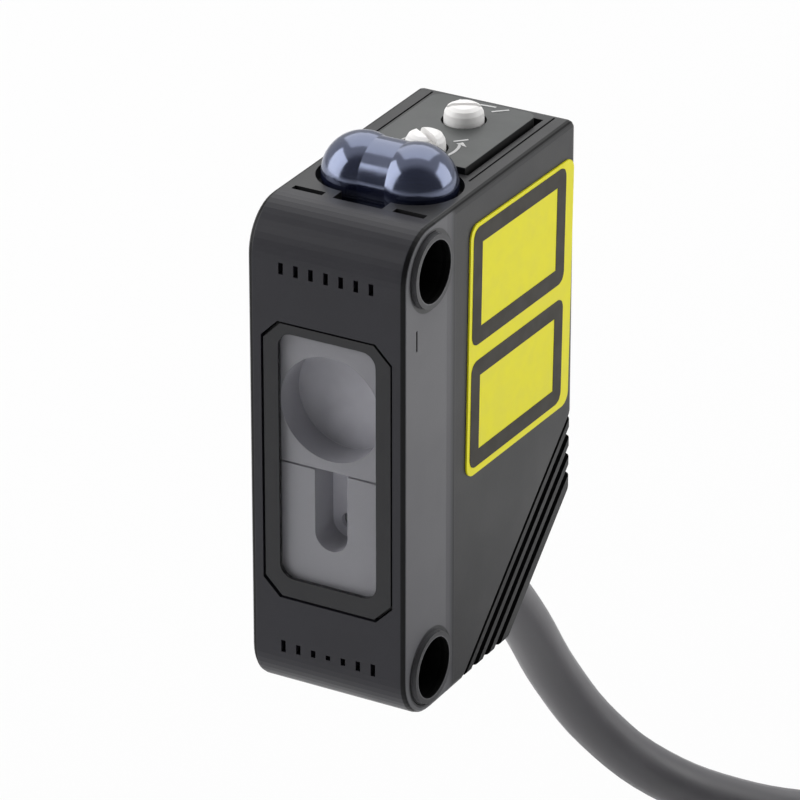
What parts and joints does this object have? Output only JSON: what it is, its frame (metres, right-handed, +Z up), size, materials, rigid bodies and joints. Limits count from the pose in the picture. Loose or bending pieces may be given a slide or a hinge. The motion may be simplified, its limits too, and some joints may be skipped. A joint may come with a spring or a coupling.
{
  "type": "laser photoelectric sensor",
  "caption": "Miniature square laser photoelectric sensor with built-in amplifier, two-lobed indicator dome, control panel with turning heads, side fixing holes and a coiled cable",
  "frame": {"origin": "The middle between the two fixing holes, in the middle of the width.", "axes": "Z up along the height, Y from the sensing face to the back, X across the width. The sensing face looks towards -Y."},
  "size_m": [0.0837, 0.0537, 0.0606],
  "materials": {
    "housing_plastic": "fine moulded texture",
    "cover_plastic": "fine moulded texture",
    "window_plastic": "smooth dark clear plastic",
    "lens_plastic": "polished clear plastic",
    "dome_plastic": "smooth smoked clear plastic",
    "frame_plastic": "opaque frame of the window",
    "grey_plate": "satin",
    "black_plastic": "satin",
    "panel_plastic": "satin",
    "white_plastic": "smooth",
    "blue_plastic": "smooth",
    "dark_steel": "blackened",
    "sheet_metal": "bright tinned",
    "laser_can": "gold plated",
    "board": "solder mask",
    "tantalum": "satin",
    "green_lamp": "clear tinted",
    "amber_lamp": "clear tinted",
    "label_film": "printed film",
    "seal_rubber": "smooth",
    "cable_vinyl": "satin",
    "core_brown_vinyl": "satin",
    "core_blue_vinyl": "satin",
    "core_black_vinyl": "satin"
  },
  "bodies": {
    "housing": {"case": "housing_plastic", "front_cover": "cover_plastic", "front_window": "window_plastic", "window_frame": "frame_plastic", "window_seal": "seal_rubber", "receiver_plate": "grey_plate", "receiver_lens": "lens_plastic", "emitter_plate": "grey_plate", "emitter_lens": "lens_plastic", "optical_block": "black_plastic", "laser_diode": "laser_can", "receiver_chip": "black_plastic", "shield_can": "sheet_metal", "sensor_board": "board", "main_board": "board", "board_link": "black_plastic", "signal_ic": "black_plastic", "output_ic": "black_plastic", "capacitor": "tantalum", "control_board": "board", "trimmer_body": "blue_plastic", "selector_body": "black_plastic", "stability_led": "green_lamp", "operation_led": "amber_lamp", "indicator_window": "dome_plastic", "control_panel": "panel_plastic", "upper_insert": "dark_steel", "lower_insert": "dark_steel", "label": "label_film", "cable_grommet": "seal_rubber", "lead_brown": "core_brown_vinyl", "lead_blue": "core_blue_vinyl", "lead_black": "core_black_vinyl", "cable": "cable_vinyl", "cable_coil": "cable_vinyl", "cable_tail": "cable_vinyl", "coil_tie": "black_plastic", "core_brown": "core_brown_vinyl", "core_blue": "core_blue_vinyl", "core_black": "core_black_vinyl"},
    "adjuster": {"trimmer_rotor": "white_plastic", "adjuster_knob": "white_plastic", "adjuster_oring": "seal_rubber"},
    "selector": {"selector_rotor": "white_plastic", "selector_knob": "white_plastic", "selector_oring": "seal_rubber"}
  },
  "joints": [
    {"name": "adjuster_turn", "type": "hinge", "parent": "housing", "child": "adjuster", "pos_m": [0, 0.00857, 0.0165], "axis": [0, 0, 1], "range_deg": [-120, 120]},
    {"name": "selector_turn", "type": "hinge", "parent": "housing", "child": "selector", "pos_m": [0, 0.0132, 0.0165], "axis": [0, 0, 1], "range_deg": [0, 120]}
  ]
}
